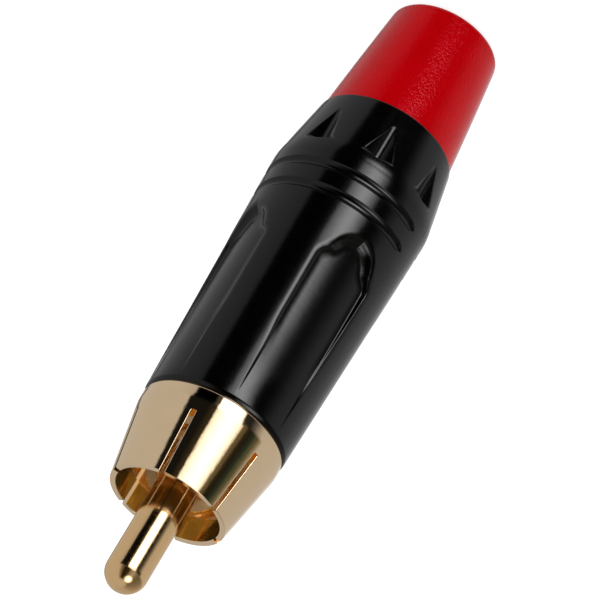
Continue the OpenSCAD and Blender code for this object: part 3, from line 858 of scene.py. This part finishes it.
def ramp(tree, factor, stops, top=1.0):
    """A ramp. Its stops are places between 0 and top, each with a grey value or a colour."""
    made = node(tree, "ShaderNodeValToRGB", {"Fac": factor})
    elements = made.color_ramp.elements
    while len(elements) > 1:
        elements.remove(elements[-1])
    for k, (place_at, value) in enumerate(stops):
        e = elements[0] if k == 0 else elements.new(place_at / top)
        e.position = place_at / top
        e.color = rgba(value)
    return made.outputs["Color"]


# The room that the polished pieces mirror, as stops by azimuth in degrees. It has three zones, from
# low down to above the horizon, which fade to the next one between two heights on the unit sphere.
# Straight above and below it is even.
LOW = (
    (0, 0.5), (36, 0.5), (40, 0.15), (48, 0.15), (52, 0.65), (60, 0.7), (88, 0.7), (100, 0.52),
    (176, 0.48), (180, 0.43), (184, 0.33), (188, 0.25), (192, 0.145), (196, 0.09), (200, 0.043),
    (204, 0.018), (213, 0.02), (216, 0.0), (256, 0.0), (258, 0.07), (264, 0.05), (266, 0.0),
    (296.5, 0.0), (300.5, 0.43), (312, 0.47), (324, 0.5), (360, 0.5))
SKIRT = (
    (0, 0.5), (36, 0.5), (40, 0.15), (48, 0.15), (52, 0.65), (60, 0.7), (88, 0.7), (100, 0.52),
    (174, 0.49), (180, (0.22, 0.20, 0.15)), (184, (0.10, 0.10, 0.06)), (188, (0.06, 0.073, 0.046)),
    (192, (0.02, 0.034, 0.024)), (200, (0.014, 0.012, 0.007)), (205, (0.024, 0.02, 0.010)),
    (209, (0.12, 0.105, 0.06)), (213, (0.13, 0.105, 0.055)), (216, 0.01),
    (262, (0.03, 0.025, 0.015)), (270, 0.007), (299, 0.007), (302, 0.5), (360, 0.5))
MID = (
    (0, 0.5), (48, 0.5), (88, 0.45), (104, 0.43), (120, (0.36, 0.33, 0.27)),
    (136, (0.26, 0.25, 0.22)), (152, (0.2, 0.19, 0.17)), (168, (0.16, 0.15, 0.13)),
    (184, (0.12, 0.11, 0.09)), (200, (0.2, 0.19, 0.17)), (216, 0.40), (232, (0.27, 0.26, 0.24)),
    (243, (0.03, 0.02, 0.004)), (268, (0.01, 0.006, 0.0)), (282, (0.18, 0.15, 0.11)), (296, 0.5),
    (360, 0.5))
SKIRT_FADE, MID_FADE = (-0.35, -0.22), (-0.10, 0.02)
ABOVE_FADE, BELOW_FADE = (0.88, 0.95), (-0.95, -0.84)
EVEN = 0.5

# The key lamp, by azimuth low down and near the horizon, and its share by height. It is brightest
# in its middle, and a dark gap parts its lowest strip from the rest.
KEY = (
    (0, 0.0), (215, 0.0), (218, 0.15), (220, 0.25), (224, 0.45), (228, 0.68), (232, 0.88),
    (236, 1.0), (240, 0.96), (244, 0.82), (248, 0.64), (252, 0.47), (255, 0.36), (256.5, 0.30),
    (258, 0.0), (360, 0.0))
HORIZON_KEY = (
    (0, 0.0), (213, 0.0), (215, 0.10), (217, 0.145), (220, 0.20), (224, 0.235), (230, 0.27),
    (238, 0.265), (244, 0.24), (250, 0.20), (255, 0.145), (257, 0.12), (258, 0.0), (360, 0.0))
KEY_FADE = (-0.215, -0.185)
KEY_BOTTOM = -0.75
KEY_SPAN = (
    (-0.75, 0.0), (-0.655, 0.0), (-0.615, 1.1), (-0.58, 1.1), (-0.555, 0.2), (-0.53, 0.2),
    (-0.50, 0.85), (-0.47, 1.0), (-0.07, 1.0), (-0.04, 0.0))
KEY_GAIN = 8.0

# A round lamp above, which only the pin's nose and edges mirror: azimuth and elevation, and its
# brightness and the cosines of its outer and inner edge, for its halo and its core
ROUND_AT = (211, 48)
ROUND_HALO, ROUND_CORE = (1.0, 0.930, 0.955), (3.0, 0.972, 0.992)


def build_world():
    world = bpy.data.worlds.new("studio")
    bpy.context.scene.world = world
    world.use_nodes = True
    tree = world.node_tree
    ray = node(tree, "ShaderNodeTexCoord").outputs["Generated"]
    parts = node(tree, "ShaderNodeSeparateXYZ", {"Vector": ray})
    x, y, up = (parts.outputs[k] for k in "XYZ")
    angle = math_node(tree, "ARCTAN2", y, x)
    turn = math_node(tree, "FRACT", math_node(tree, "DIVIDE", angle, TAU))
    low, skirt, mid, key, horizon_key = (
        ramp(tree, turn, stops, 360) for stops in (LOW, SKIRT, MID, KEY, HORIZON_KEY))
    room = mixed(tree, rise(tree, up, *SKIRT_FADE), low, skirt)
    room = mixed(tree, rise(tree, up, *MID_FADE), room, mid)
    room = mixed(tree, rise(tree, up, *ABOVE_FADE), room, EVEN)
    room = mixed(tree, fall(tree, up, *BELOW_FADE), room, EVEN)
    span = ramp(tree, math_node(tree, "SUBTRACT", up, KEY_BOTTOM),
                [(height - KEY_BOTTOM, share) for height, share in KEY_SPAN])
    key = mixed(tree, rise(tree, up, *KEY_FADE), key, horizon_key)
    key = product(tree, key, span, KEY_GAIN)
    dot = node(tree, "ShaderNodeVectorMath", {0: ray, 1: direction(*ROUND_AT)},
               operation="DOT_PRODUCT").outputs["Value"]
    halo, core = (to_range(tree, dot, 0, *rest) for rest in (ROUND_HALO, ROUND_CORE))
    lamps = math_node(tree, "ADD", key, math_node(tree, "ADD", halo, core))
    room = node(tree, "ShaderNodeVectorMath", {0: room, 1: lamps}, operation="ADD").outputs[0]
    # Matt surfaces see an even grey, the mirroring ones the room, and the camera white
    path = node(tree, "ShaderNodeLightPath")
    seen = mixed(tree, path.outputs["Is Glossy Ray"], EVEN, room)
    seen = mixed(tree, path.outputs["Is Camera Ray"], seen, 1.0)
    back = put(tree, tree.nodes["Background"], {"Color": seen})
    put(tree, tree.nodes["World Output"], {"Surface": back.outputs[0]})


# The camera that was fitted to the photo, with its place in millimetres
LENS, SENSOR_WIDTH = 221.726, 36
CAMERA_AT = Vector((-87.495, -219.865, 158.434))
CAMERA_RIGHT = Vector((-0.89030, 0.08199, -0.44793))
CAMERA_UP = Vector((0.32348, -0.57847, -0.74882))
CAMERA_AHEAD = Vector((0.32051, 0.81157, -0.48849))


def build_camera():
    data = bpy.data.cameras.new("camera")
    data.sensor_width = SENSOR_WIDTH
    data.lens = LENS
    data.clip_start, data.clip_end = 0.01, 20
    obj = bpy.data.objects.new("camera", data)
    turn = Matrix((CAMERA_RIGHT, CAMERA_UP, -CAMERA_AHEAD)).transposed().to_4x4()
    obj.matrix_world = Matrix.Translation(CAMERA_AT * MM) @ turn
    bpy.context.scene.collection.objects.link(obj)
    bpy.context.scene.camera = obj


build_floor()
panel("front", 236, -19, 300, 242, 206, 2.8)
panel("top_left", 330, 48, 500, 380, 380, 1.6)
panel("top_right", 130, 50, 500, 380, 380, 3.2)
build_world()
build_camera()
bpy.context.scene.view_settings.view_transform = "Standard"
